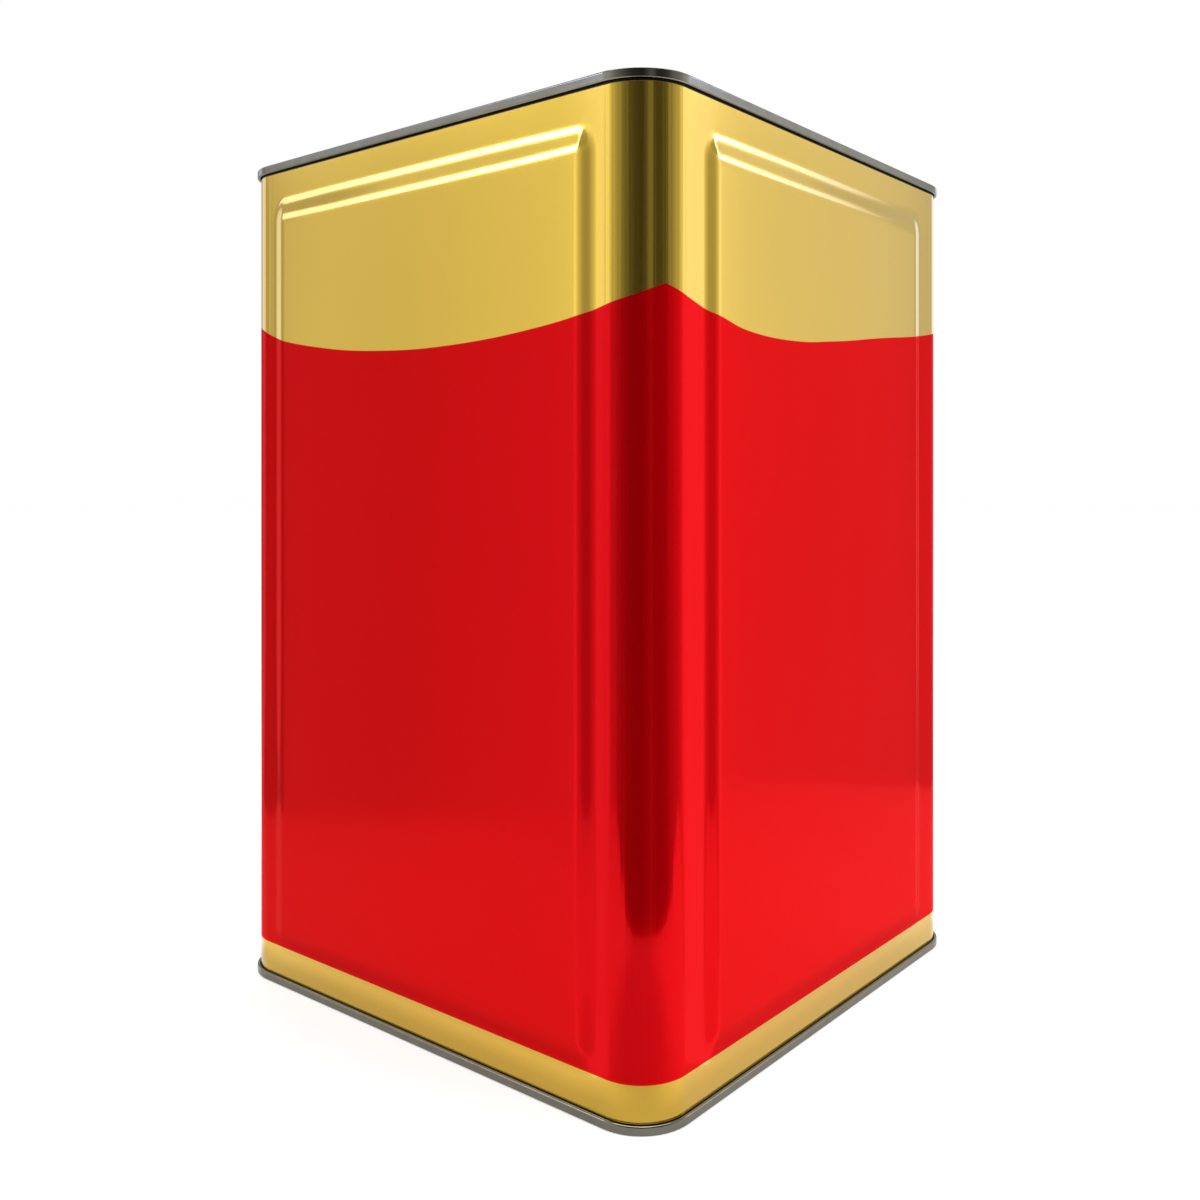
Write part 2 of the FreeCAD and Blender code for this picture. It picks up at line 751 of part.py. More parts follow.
def make_collar():
    """The plastic collar: a well that holds the cap, and the sleeve that guides the spout."""
    sleeve_out = sleeve_bore + size["sleeve_wall"]
    return place_on_spout(make_turned("spout_collar", [
        (sleeve_bore, sleeve_foot),
        (sleeve_out, sleeve_foot),
        (sleeve_out, floor_under),
        (collar_out, floor_under),
        (collar_out, flange_under),
        (skirt_in, flange_under),
        (skirt_in, skirt_foot),
        (skirt_out, skirt_foot),
        (skirt_out, collar_top),
        (well_radius, collar_top, size["collar_flange"] * 0.6),
        (well_radius, well_bottom),
        (sleeve_bore, well_bottom),
    ]))


def make_crimp_ring():
    """The tinplate ring that clamps the collar on the neck."""
    inside = skirt_out + size["crimp_gap"]
    outside = inside + size["crimp_sheet"]
    lip_under = collar_top + size["crimp_gap"]
    lip_top = lip_under + size["crimp_sheet"]
    tuck_top = skirt_foot - size["crimp_gap"]
    tuck_under = tuck_top - size["crimp_sheet"]
    return place_on_spout(make_turned("crimp_ring", [
        (inside - size["crimp_lip"], lip_under),
        (inside, lip_under),
        (inside, tuck_top),
        (inside - size["crimp_tuck"], tuck_top),
        (inside - size["crimp_tuck"], tuck_under),
        (outside, tuck_under, size["crimp_sheet"]),
        (outside, lip_top, size["crimp_sheet"]),
        (inside - size["crimp_lip"], lip_top),
    ]))


def make_gasket():
    """The ring seal between the collar and the neck's rolled edge."""
    return place_on_spout(make_turned("neck_gasket", [
        (size["neck_radius"], gasket_foot),
        (curl_radius, gasket_foot),
        (curl_radius, gasket_top),
        (size["neck_radius"], gasket_top),
    ]))


def thread_outline(body, name, root_radius, crest_radius, middle):
    """Profile of a thread, given by the radii of its root and its crest."""
    sketch = new_sketch(body, name, "XZ_Plane")
    half_root = size["thread_root"] / 2
    half_crest = size["thread_crest"] / 2
    draw_route(sketch, [
        (root_radius, middle - half_root),
        (crest_radius, middle - half_crest),
        (crest_radius, middle + half_crest),
        (root_radius, middle + half_root),
    ])
    return sketch


thread_middle = tube_top - size["thread_start"]
thread_bite = size["tube_wall"] * 0.15


def make_tube():
    """The sliding spout: stop flange below, keeper rib, and the thread for the cap."""
    stop_out = tube_radius + size["stop_width"]
    keeper_out = tube_radius + size["keeper_width"]
    body = make_turned("spout_tube", [
        (tube_bore, tube_foot),
        (stop_out, tube_foot),
        (stop_out, stop_top),
        (tube_radius, stop_top),
        (tube_radius, keeper_foot),
        (keeper_out, keeper_foot),
        (keeper_out, keeper_top),
        (tube_radius, keeper_top),
        (tube_radius, tube_top, size["tube_wall"] * 0.4),
        (tube_bore, tube_top, size["tube_wall"] * 0.4),
    ])
    outline = thread_outline(body, "ThreadOutline", tube_radius - thread_bite, thread_radius, thread_middle)
    add_thread(body, "Thread", outline, size["thread_pitch"], size["thread_turns"])
    return place_on_spout(body)


def make_band():
    """The tamper band that the cap leaves behind."""
    return place_on_spout(make_turned("tamper_band", [
        (band_in, band_foot),
        (band_out, band_foot),
        (band_out, band_top),
        (band_in, band_top),
    ]))


def make_cap():
    """The screw cap, with grip ribs and a stud on each side for the pull loops."""
    body = make_turned("spout_cap", [
        (cap_bore, cap_foot),
        (cap_out, cap_foot),
        (cap_out, cap_peak, size["cap_round"]),
        (0.0, cap_peak),
        (0.0, cap_ceiling),
        (cap_bore, cap_ceiling),
    ])
    crest = tube_radius + size["thread_clearance"]
    between_turns = thread_middle + size["thread_pitch"] / 2
    outline = thread_outline(body, "ThreadOutline", cap_bore + thread_bite, crest, between_turns)
    add_thread(body, "Thread", outline, size["thread_pitch"], size["thread_turns"])
    bite = size["cap_wall"] / 4
    rib_outline = new_sketch(body, "RibOutline", "XY_Plane", cap_foot + size["rib_inset"])
    half_rib = size["rib_width"] / 2
    draw_rectangle(rib_outline, cap_out - bite, cap_out + size["rib_rise"], -half_rib, half_rib)
    rib = add_pad(body, "Rib", rib_outline, size["rib_length"])
    add_ring_pattern(body, "Ribs", [rib], size["rib_count"])
    stud_outline = new_sketch(body, "StudOutline", "YZ_Plane", cap_out - bite)
    draw_circle(stud_outline, size["stud_radius"], 0.0, loop_level)
    stud = add_pad(body, "Stud", stud_outline, stud_tip - cap_out + bite)
    add_mirror(body, "BothStuds", [stud])
    return place_on_spout(body)


def make_liner():
    """The sealing disc inside the cap."""
    body = new_body("cap_liner")
    outline = new_sketch(body, "DiscOutline", "XY_Plane", liner_foot)
    draw_circle(outline, cap_bore - size["thread_clearance"])
    add_pad(body, "Disc", outline, size["liner_thickness"])
    return place_on_spout(body)


def make_loop(label, inside, towards_front):
    """A half-ring pull loop that folds down around the cap, with an eye on each stud."""
    body = new_body(label)
    outside = inside + size["loop_wall"]
    half = size["loop_thickness"] / 2
    section = new_sketch(body, "LoopSection", "XZ_Plane")
    draw_rectangle(section, inside, outside, -half, half)
    add_turning(body, "HalfRing", section, 180.0, backwards=towards_front)
    eye_bore = size["stud_radius"] + size["loop_clearance"]
    eye_outline = new_sketch(body, "EyeOutline", "YZ_Plane", inside)
    draw_circle(eye_outline, eye_bore + size["eye_wall"])
    eye = add_pad(body, "Eye", eye_outline, size["loop_wall"])
    add_mirror(body, "BothEyes", [eye])
    hole_outline = new_sketch(body, "EyeHole", "YZ_Plane", -(outside + size["loop_wall"]))
    draw_circle(hole_outline, eye_bore)
    hole = body.newObject("PartDesign::Pocket", "StudHole")
    hole.Profile = hole_outline
    hole.Reversed = True
    hole.setExpression("Length", ((outside + size["loop_wall"]) * 2).formula)
    doc.recompute()
    move_body(body, -spout_offset, spout_offset, lid_level + loop_level)
    return body


nodes = [
    make_body_shell(),
    make_top_end(),
    make_end("bottom_end", from_base, panel_level),
    make_compound("top_compound", from_top),
    make_compound("bottom_compound", from_base),
    make_ear("handle_ear_left", -1),
    make_ear("handle_ear_right", 1),
    make_handle_wire(),
    make_handle_grip(),
    make_collar(),
    make_crimp_ring(),
    make_gasket(),
    make_tube(),
    make_band(),
    make_cap(),
    make_liner(),
    make_loop("pull_loop_front", loop_in, True),
    make_loop("pull_loop_rear", outer_loop_in, False),
]

doc.recompute()
for item in doc.Objects:
    if "Invalid" in item.State or "Error" in item.State:
        raise RuntimeError(f"{item.Name} ({item.Label}) did not build: {item.State}")
os.makedirs("parts", exist_ok=True)
for node in nodes:
    if node.Shape.isNull() or not node.Shape.isValid():
        raise RuntimeError(f"{node.Label} has no valid shape")
    node.Shape.exportStep(f"parts/{node.Label}.step")
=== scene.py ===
import json
import math
import bpy
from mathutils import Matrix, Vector


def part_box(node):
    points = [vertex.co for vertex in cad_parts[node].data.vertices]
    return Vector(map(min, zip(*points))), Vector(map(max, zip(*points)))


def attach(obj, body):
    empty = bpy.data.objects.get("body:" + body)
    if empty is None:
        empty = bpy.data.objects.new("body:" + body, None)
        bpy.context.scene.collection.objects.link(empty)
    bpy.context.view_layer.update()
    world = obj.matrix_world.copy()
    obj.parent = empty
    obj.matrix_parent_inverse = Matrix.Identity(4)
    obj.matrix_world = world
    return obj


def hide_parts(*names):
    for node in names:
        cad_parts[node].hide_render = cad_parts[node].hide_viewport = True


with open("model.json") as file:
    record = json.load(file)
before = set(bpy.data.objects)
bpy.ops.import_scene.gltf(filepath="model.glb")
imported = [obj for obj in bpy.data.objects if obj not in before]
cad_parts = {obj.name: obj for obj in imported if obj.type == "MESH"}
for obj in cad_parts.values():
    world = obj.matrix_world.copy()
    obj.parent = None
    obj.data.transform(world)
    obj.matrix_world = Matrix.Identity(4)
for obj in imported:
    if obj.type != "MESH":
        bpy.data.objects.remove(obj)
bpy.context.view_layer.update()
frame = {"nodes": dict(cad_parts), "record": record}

# Everything is in metres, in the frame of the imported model:
# origin at the middle of the base, +Z up, -Y the wall on the photo's left, +X the wall on its right.
# The four walls are counted from the -Y wall on, by way of the +X wall.

# The tin's wall, as in the part's source
BODY_WIDTH = 0.235
CORNER_RADIUS = 0.0195
BODY_SHEET = 0.00034
FRONT_PANEL_SIDE = 0.0244
SIDE_PANEL_SIDE = 0.0308
PANEL_END = 0.016
PANEL_SLOPE = 0.0064
PANEL_END_SLOPE = 0.0088
WELD_WALL = 2
WELD_INSET = 0.022
WELD_WIDTH = 0.0012
WELD_RISE = 0.0002

# The smooth wall drawn in its place: the corners and bends of its panels are softer than the solid's
PANEL_CORNER = 0.0075
PANEL_BEND = 0.0040
# Across the weld's ridge: place in half widths, and share of its rise
WELD_PROFILE = [(-1.25, 0.0), (-1.0, 0.5), (-0.6, 1.0), (0.6, 1.0), (1.0, 0.5), (1.25, 0.0)]
# From the tin's ends to the wall's edges inside the seams, and to the next points, which the seams still hide
WALL_IN_SEAM = 0.0009
WALL_HIDDEN = 0.0028
# How close its points are: in the panels' borders with a margin, across and up the flats, and in the corners
BORDER_MARGIN = 0.0015
BORDER_STEP = 0.0005
COLUMN_STEP = 0.008
ROW_STEP = 0.012
CORNER_STEP = math.radians(3)

TIN_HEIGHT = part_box("top_end")[1].z
BODY_HALF = BODY_WIDTH / 2
FLAT_HALF = BODY_HALF - CORNER_RADIUS
PANEL_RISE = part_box("body_shell")[1].x - BODY_HALF
QUARTER = 2 * FLAT_HALF + CORNER_RADIUS * math.pi / 2
PERIMETER = 4 * QUARTER
WELD_ACROSS = BODY_HALF - WELD_INSET
# A panel's slope starts half a sheet below the wall's face, so it leaves that face a little inside its
# outline.
PANEL_TILT = (PANEL_RISE + BODY_SHEET / 2) / PANEL_SLOPE
PANEL_START = BODY_SHEET / 2 / PANEL_TILT

# The print: where gold meets red, by distance around the wall from the middle of the -Y wall, and height.
# It repeats on the two walls behind. The two peaks, at the corners, are pointed. The first point is where
# the front peak then falls on a step of the curve's table, which keeps that peak sharp.
WAVE = [
    (-0.1033, 0.2896), (-0.064, 0.2792), (-0.014, 0.2741), (0.016, 0.2736), (0.067, 0.2768),
    (0.103, 0.2837), (0.1198, 0.2893), (0.136, 0.2839), (0.1485, 0.2807), (0.1756, 0.2766), (0.198, 0.2765),
    (0.228, 0.2790), (0.273, 0.2846), (0.309, 0.2888), (0.338, 0.2935),
]
WAVE_PEAKS = (0.1198, 0.338)
WAVE_LOW, WAVE_HIGH = 0.26, 0.30
# Height of the gold band at the foot, half the width of the bare stripe at the weld, and how far the painted
# shade along the seams (a dark band standing in for the crevice shadow) reaches from the tin's two ends. The
# edges say how softly these and the corners' roll marks start.
FOOT_BAND = 0.0165
PRINT_EDGE = 0.00012
WELD_MARGIN = 0.0026
BENT_EDGE = 0.004
SHADED_SEAM_LOW = 0.0035
SHADED_SEAM_HIGH = 0.0042
SHADED_SEAM_EDGE = 0.0003

# Finishes. Colours are sRGB, and a pair of them is blended by a noise. Noises have their scales per metre.
# A roughness is its least value, and what a noise adds to it.
GOLD_INK = ("CAA630", "D0AD36")
GOLD_FLECK = "DABA48"
GOLD_FLECK_SHARE = 0.35
RED_INK = ("D60008", "DC000B")
RED_TINT, GOLD_TINT = "FF5A5A", "FFFFFF"
RED_METALLIC, GOLD_METALLIC = 0.54, 0.97
RED_COAT, GOLD_COAT = 0.10, 0.60
COAT_ROUGH = 0.05
PRINT_ROUGH = (0.10, 0.04)
BARE_METAL = "A9A6A0"
# Painted shade: a near-black colour for the shadow in the crevice under each seam
SEAM_SHADE_COLOUR = "0E0B07"
INK_CLOUD_SCALE = 9.0
INK_GRAIN_SCALE = 1500.0
SHEET_WAVE_SCALE = (5.0, 5.0, 3.0)
ROLL_MARK_SCALE = (700.0, 700.0, 2.0)
ROLL_MARK_SHARE = 0.08
PRINT_BUMP = 0.0012
SATIN_TIN = ("A5A39E", "BDBBB6")
SATIN_ROUGH = (0.42, 0.14)
# Painted shade: the rolled seams' tinplate is painted darker than the rest; only their lower roughness is
# burnish
SHADED_SEAM_TIN = ("737168", "88867B")
BURNISHED_ROUGH = (0.06, 0.06)
SEAM_MARGIN = 0.0006
SPANGLE_SCALE = 160.0
ROLLED_SCALE = (40.0, 40.0, 2600.0)
ROLLED_BUMP = (0.01, 0.00008)
ZINC = ("A8AAAC", "CDCFD0")
ZINC_ROUGH = (0.18, 0.18)
ZINC_SCALE = 220.0
# Moulded materials: two colours, least roughness, scale and depth of the fine texture, and scatter below it
MOULDED = {
    "spout_plastic": ("DAD7CB", "ECE9DF", 0.30, 900.0, 0.00004, 0.15),
    "cap_plastic": ("B50A12", "CB121A", 0.28, 1100.0, 0.00003, 0.05),
    "grip_plastic": ("121212", "1E1E1E", 0.48, 1500.0, 0.00012, 0.0),
    "liner_foam": ("E2DFD6", "F0EEE8", 0.55, 3000.0, 0.00008, 0.0),
    "seal_rubber": ("343434", "444444", 0.60, 2000.0, 0.00005, 0.0),
    "seam_compound": ("8C7F68", "9C8F78", 0.65, 2000.0, 0.00005, 0.0),
}
MOULDED_CLOUD_SCALE = 60.0
MOULDED_ROUGH_ADDED = 0.12
MOULDED_BUMP = 0.4
SCATTER_DEPTH = 0.002

# Camera matched to the photo. It is level, and its shift frames the tin.
IMAGE_SIZE = 1200
FOCAL_PIXELS = 1189.3
CENTRE_PIXEL = (632.2, 481.0)
SENSOR_WIDTH = 36.0
CAMERA_YAW = math.radians(38.72)
CAMERA_DISTANCE = 0.5608
CAMERA_SIDE = 0.0120
CAMERA_HEIGHT = 0.2218
CAMERA_NEAR = 0.01

# The studio: a white floor, a cloth around it with bright strips before it, both seen only as reflections,
# and two soft lights
WHITE = (1.0, 1.0, 1.0, 1.0)
BLACK = (0.0, 0.0, 0.0, 1.0)
WORLD_LIGHT = 0.28
FILL_SIZE = 1.4
FILL_RIGHT_ANGLE = 20
FILL_RIGHT_DISTANCE = 1.6
FILL_RIGHT_HEIGHT = 0.7
FILL_RIGHT_AIM = (0, 0, 0.2)
FILL_RIGHT_WATTS = 13.5
FILL_TOP_HEIGHT = 1.8
FILL_TOP_WATTS = 24.0
FLOOR_SIZE = 30.0
FLOOR_PAINT = ((0.90, 0.90, 0.90, 1.0), (0.92, 0.92, 0.92, 1.0))
FLOOR_PAINT_SCALE = 3.0
FLOOR_ROUGH = 0.9
# The floor's levels, each with the distances between which it changes: first as the camera sees the floor,
# then as the tin mirrors it. The mirrored floor is darker near the walls and before the front corner.
FLOOR_GLOW = (0.50, 0.74)
FLOOR_GLOW_REACH = (0.7, 2.2)
FLOOR_MIRRORED = (0.60, 0.30)
FLOOR_MIRRORED_REACH = (0.18, 0.47)
FLOOR_FOOT_SHARE = (0.40, 1.0)
FLOOR_FOOT_REACH = (0.129, 0.143)
FLOOR_SHADE_DISTANCE = 0.1095
FLOOR_SHADE_SHARE = (0.0, 1.0)
FLOOR_SHADE_REACH = (0.06, 0.11)
# The cloth: heights of its foot and top, heights between which it fades to a share of its brightness,
# the brightness that its map counts as 1, and how far apart its columns are, in degrees
CLOTH_LIFT = 0.0015
CLOTH_TOP = 2.4
CLOTH_FADE = (1.08, 1.30)
CLOTH_FADED = 0.80
CLOTH_FULL = 16.0
CLOTH_STEP = 4.0
# Its brightest parts turn bluish between two levels, the strips fully and the cloth by a share
COOL_WHITE = (1.0, 1.08, 1.9, 1.0)
COOL_LEVELS = (1.1, 1.7)
CLOTH_COOL_SHARE = 0.3
STRIP_COOL_SHARE = 1.0
# Parts of the cloth: distance to its wall, then angle, brightness and distance of its rim.
# The first is about the camera's mirror image in the left wall, the second about the tin's front corner,
# the third about the camera's mirror image in the right wall, so each is an even band in what mirrors it.
CLOTH_LEFT = (1.7, [
    (165, 0.60, 0.84), (186, 0.60, 0.84), (190, 1.20, 0.84), (201, 1.20, 0.83), (205, 0.60, 0.83),
    (214.2, 0.66, 0.82), (215, 1.04, 0.82), (220, 0.97, 0.80), (222.7, 1.05, 0.80), (225.5, 1.12, 0.79),
    (228.8, 1.15, 0.79), (229.4, 1.60, 0.44), (230.6, 1.60, 0.44),
])
CLOTH_FRONT = (1.25, [
    (234, 1.55, 0.055), (238, 1.30, 0.15), (241, 1.08, 0.38), (246, 0.93, 0.42), (250, 0.80, 0.42),
    (254, 0.64, 0.40), (260, 0.49, 0.38), (268, 0.35, 0.30), (277, 0.21, 0.22), (285, 0.13, 0.20),
    (294, 0.08, 0.19), (312, 0.05, 0.19), (319, 0.14, 0.19), (326, 0.28, 0.19), (332, 0.24, 0.19),
    (339, 0.07, 0.19), (352, 0.08, 0.20), (361, 0.15, 0.21), (370, 0.36, 0.23), (380, 0.54, 0.32),
    (386, 0.60, 0.38), (391, 0.66, 0.42), (396, 0.84, 0.38), (402.8, 1.12, 0.12), (407, 1.55, 0.055),
    (410, 1.68, 0.055),
])
CLOTH_RIGHT = (1.7, [
    (413.6, 1.70, 0.45), (414.9, 1.70, 0.45), (415.4, 1.16, 0.88), (416.5, 1.15, 0.88), (418, 1.12, 0.88),
    (420.5, 1.07, 0.88), (424.3, 1.00, 0.88), (425, 0.76, 0.88), (434, 0.72, 0.88), (438, 1.20, 0.88),
    (450, 1.20, 0.88), (454, 0.70, 0.88), (462, 0.70, 0.88),
])
# Strips in front of the cloth, for the bright lines in the panels' top borders. They are dim towards the
# tin's front corner, bright beside it and fade outwards:
# angle and distance from the tin, lower and upper edge, brightness
STRIPS = [
    [(262, 1.13, 0.82, 1.30, 0.5), (237.5, 1.13, 0.82, 1.30, 0.6),
     (236.8, 1.13, 0.83, 1.01, 13.0), (235.5, 1.14, 0.825, 1.005, 12.5),
     (228.6, 1.16, 0.745, 0.905, 6.5), (216.9, 1.24, 0.666, 0.805, 2.3), (208, 1.30, 0.65, 0.78, 1.6)],
    [(25, 1.00, 0.76, 1.25, 0.5), (46.0, 1.00, 0.76, 1.25, 0.6),
     (46.7, 1.01, 0.748, 0.875, 12.0), (48.0, 1.01, 0.742, 0.868, 11.0),
     (51.4, 1.035, 0.704, 0.812, 4.5), (55.8, 1.07, 0.668, 0.762, 2.2), (61.5, 1.13, 0.650, 0.735, 1.2)],
]


def join(tree, socket, value):
    """Link a socket to another node's output, or set it."""
    if isinstance(value, bpy.types.NodeSocket):
        tree.links.new(value, socket)
    else:
        socket.default_value = value


class Graph:
    """A material's node tree, with short ways to add and join nodes."""

    def __init__(self, name):
        self.material = bpy.data.materials.new(name)
        self.material.use_nodes = True
        self.tree = self.material.node_tree
        self.tree.nodes.clear()
        self.output = self.tree.nodes.new("ShaderNodeOutputMaterial")
        self.shader = self.tree.nodes.new("ShaderNodeBsdfPrincipled")
        self.tree.links.new(self.shader.outputs["BSDF"], self.output.inputs["Surface"])

    def set(self, **values):
        """Set the main shader's inputs by name, with _ for a space."""
        for name, value in values.items():
            join(self.tree, self.shader.inputs[name.replace("_", " ")], value)

    def add(self, kind, inputs=None, output=0, **settings):
        """Add a node and return one of its outputs."""
        node = self.tree.nodes.new(kind)
        for name, value in settings.items():
            setattr(node, name, value)
        for key, value in (inputs or {}).items():
            join(self.tree, node.inputs[key], value)
        return node.outputs[output]

    def math(self, operation, first, second=0.0):
        """A sum, product or other operation on one or two numbers."""
        return self.add("ShaderNodeMath", {0: first, 1: second}, operation=operation)

    def line(self, value, start, gain):
        """The start plus a gain times the value."""
        return self.math("ADD", start, self.math("MULTIPLY", value, gain))

    def inverted(self, value):
        """1 where the value is 0, and 0 where it is 1."""
        return self.math("SUBTRACT", 1.0, value)

    def step(self, value, edge, width):
        """0 below the edge, 1 above it, soft over a width."""
        inputs = {"Value": value, "From Min": edge - width / 2, "From Max": edge + width / 2}
        return self.add("ShaderNodeMapRange", inputs, interpolation_type="SMOOTHSTEP")

    def ramp(self, value, reach, levels):
        """From one level to another as a value goes through its reach."""
        inputs = {"Value": value, "From Min": reach[0], "From Max": reach[1],
                  "To Min": levels[0], "To Max": levels[1]}
        return self.add("ShaderNodeMapRange", inputs)

    def mix(self, factor, first, second):
        """Blend two colours."""
        node = self.tree.nodes.new("ShaderNodeMix")
        node.data_type = "RGBA"
        for name, value in (("Factor_Float", factor), ("A_Color", first), ("B_Color", second)):
            join(self.tree, next(s for s in node.inputs if s.identifier == name), value)
        return next(s for s in node.outputs if s.identifier == "Result_Color")

    def tones(self, factor, pair):
        """Blend a pair of sRGB colours."""
        return self.mix(factor, colour(pair[0]), colour(pair[1]))

    def blend(self, factor, first, second):
        """Blend two numbers."""
        return self.add("ShaderNodeMix", {0: factor, 2: first, 3: second}, data_type="FLOAT")

    def place(self):
        """Position on the object, in metres."""
        return self.add("ShaderNodeTexCoord", output="Object")

    def vector(self, operation, first, second=(0, 0, 0), output=0):
        """An operation on one or two vectors, whose output "Value" is a number."""
        return self.add("ShaderNodeVectorMath", {0: first, 1: second}, output, operation=operation)

    def split(self, vector):
        """A vector's three numbers."""
        node = self.tree.nodes.new("ShaderNodeSeparateXYZ")
        join(self.tree, node.inputs[0], vector)
        return list(node.outputs)

    def noise(self, vector, scale, detail=2.0):
        """A cloudy noise from 0 to 1, at one scale or at one for each axis."""
        if isinstance(scale, tuple):
            vector = self.add("ShaderNodeMapping", {"Vector": vector, "Scale": scale})
            scale = 1.0
        return self.add("ShaderNodeTexNoise", {"Vector": vector, "Scale": scale, "Detail": detail})

    def bump(self, height, strength, distance):
        """A normal tilted by the slopes of a height, which counts times the distance."""
        return self.add("ShaderNodeBump", {"Height": height, "Strength": strength, "Distance": distance})


def colour(hex_code):
    """An sRGB hex colour as the linear colour that nodes use."""
    def linear(part):
        value = int(part, 16) / 255
        return value / 12.92 if value <= 0.04045 else ((value + 0.055) / 1.055) ** 2.4
    return (*(linear(hex_code[start:start + 2]) for start in (0, 2, 4)), 1.0)


def add_object(name, data):
    """Put a mesh, a light or a camera into the scene."""
    thing = bpy.data.objects.new(name, data)
    bpy.context.scene.collection.objects.link(thing)
    return thing


def add_mesh(name, points, faces):
    """Put a new mesh into the scene."""
    mesh = bpy.data.meshes.new(name)
    mesh.from_pydata(points, [], faces)
    return add_object(name, mesh)


def map_corners(piece, name, corners):
    """Give a piece a UV map, corner by corner of its faces."""
    layer = piece.data.uv_layers.new(name=name)
    for loop, corner in zip(layer.data, corners):
        loop.uv = corner


def spaced(start, end, step):
    """Even places from start to end, both included, no more than a step apart."""
    count = max(1, math.ceil(abs(end - start) / step - 1e-6))
    return [start + (end - start) * index / count for index in range(count + 1)]


def fine_at_borders(low, high, border, coarse):
    """Places from low to high, close together in the two borders where a panel's edge slopes."""
    start, width = border
    marks = [
        (low, low + start, coarse),
        (low + start, low + start + width, BORDER_STEP),
        (low + start + width, high - start - width, coarse),
        (high - start - width, high - start, BORDER_STEP),
        (high - start, high, coarse),
    ]
    places = [low]
    for first, last, step in marks:
        places += spaced(first, last, step)[1:]
    return places


def panel_depth(across, up, side):
    """How far a point of a wall lies inside its panel's outline, in the measure of the side borders."""
    from_side = BODY_HALF - side - abs(across)
    from_end = TIN_HEIGHT / 2 - PANEL_END - abs(up - TIN_HEIGHT / 2)
    over_x = PANEL_CORNER - from_side
    over_y = PANEL_CORNER - from_end * PANEL_SLOPE / PANEL_END_SLOPE
    outside = math.hypot(max(over_x, 0), max(over_y, 0))
    return PANEL_CORNER - outside - min(max(over_x, over_y), 0)


def panel_height(across, up, side):
    """How far the wall stands out: a slope between the panel's two outlines, with a soft bend at each."""
    width = PANEL_SLOPE - PANEL_START
    depth = panel_depth(across, up, side) - PANEL_START + PANEL_BEND / 2
    left_over = width + PANEL_BEND - depth
    if depth <= 0:
        return 0.0
    if left_over <= 0:
        return PANEL_RISE
    if depth < PANEL_BEND:
        return PANEL_TILT * depth ** 2 / (2 * PANEL_BEND)
    if left_over < PANEL_BEND:
        return PANEL_RISE - PANEL_TILT * left_over ** 2 / (2 * PANEL_BEND)
    return PANEL_TILT * (depth - PANEL_BEND / 2)


def wall_columns():
    """The wall's upright lines, once around.

    Each has its distance around, place on the outline, outward normal, place across its flat wall and that
    wall's panel inset. The last two are None in the rounded corners.
    """
    columns = []
    for wall in range(4):
        side = (FRONT_PANEL_SIDE, SIDE_PANEL_SIDE)[wall % 2]
        border = (side - CORNER_RADIUS - BORDER_MARGIN, PANEL_SLOPE + 3 * BORDER_MARGIN)
        turn = wall * math.pi / 2
        cosine, sine = math.cos(turn), math.sin(turn)

        def turned(x, y):
            return Vector((x * cosine - y * sine, x * sine + y * cosine, 0))

        flat = [(across, 0.0) for across in fine_at_borders(-FLAT_HALF, FLAT_HALF, border, COLUMN_STEP)]
        if wall == WELD_WALL:
            flat += [(WELD_ACROSS + offset * WELD_WIDTH / 2, share * WELD_RISE)
                     for offset, share in WELD_PROFILE]
        for across, raised in sorted(flat):
            distance = wall * QUARTER + across
            place = turned(across, -BODY_HALF - raised)
            columns.append((distance, place, turned(0, -1), across, side))
        for angle in spaced(-math.pi / 2, 0, CORNER_STEP)[1:-1]:
            outward = turned(math.cos(angle), math.sin(angle))
            place = turned(FLAT_HALF, -FLAT_HALF) + outward * CORNER_RADIUS
            distance = wall * QUARTER + FLAT_HALF + (angle + math.pi / 2) * CORNER_RADIUS
            columns.append((distance, place, outward, None, None))
    return columns


def make_wall(material):
    """The printed wall as one smooth sheet, with bent panel borders, in place of the flat-sided solid."""
    columns = wall_columns()
    border = (PANEL_END - 2 * BORDER_MARGIN - WALL_HIDDEN, PANEL_END_SLOPE + 4 * BORDER_MARGIN)
    rows = fine_at_borders(WALL_HIDDEN, TIN_HEIGHT - WALL_HIDDEN, border, ROW_STEP)
    rows = [WALL_IN_SEAM] + rows + [TIN_HEIGHT - WALL_IN_SEAM]
    points = []
    for up in rows:
        for _, place, outward, across, side in columns:
            rise = 0.0 if across is None else panel_height(across, up, side)
            points.append(place + outward * rise + Vector((0, 0, up)))
    count = len(columns)
    faces, corners = [], []
    for row in range(len(rows) - 1):
        low, high = rows[row] / TIN_HEIGHT, rows[row + 1] / TIN_HEIGHT
        for column in range(count):
            following = (column + 1) % count
            around = columns[column][0] / PERIMETER
            around_next = columns[following][0] / PERIMETER + (1.0 if following == 0 else 0.0)
            faces.append((row * count + column, row * count + following,
                          (row + 1) * count + following, (row + 1) * count + column))
            corners += [(around, low), (around_next, low), (around_next, high), (around, high)]
    wall = add_mesh("printed_wall", points, faces)
    map_corners(wall, "print", corners)
    wall.data.polygons.foreach_set("use_smooth", [True] * len(faces))
    wall.data.materials.append(material)
    sheet = wall.modifiers.new("sheet", "SOLIDIFY")
    sheet.thickness = BODY_SHEET
    sheet.offset = -1.0
    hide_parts("body_shell")
    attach(wall, "tin")


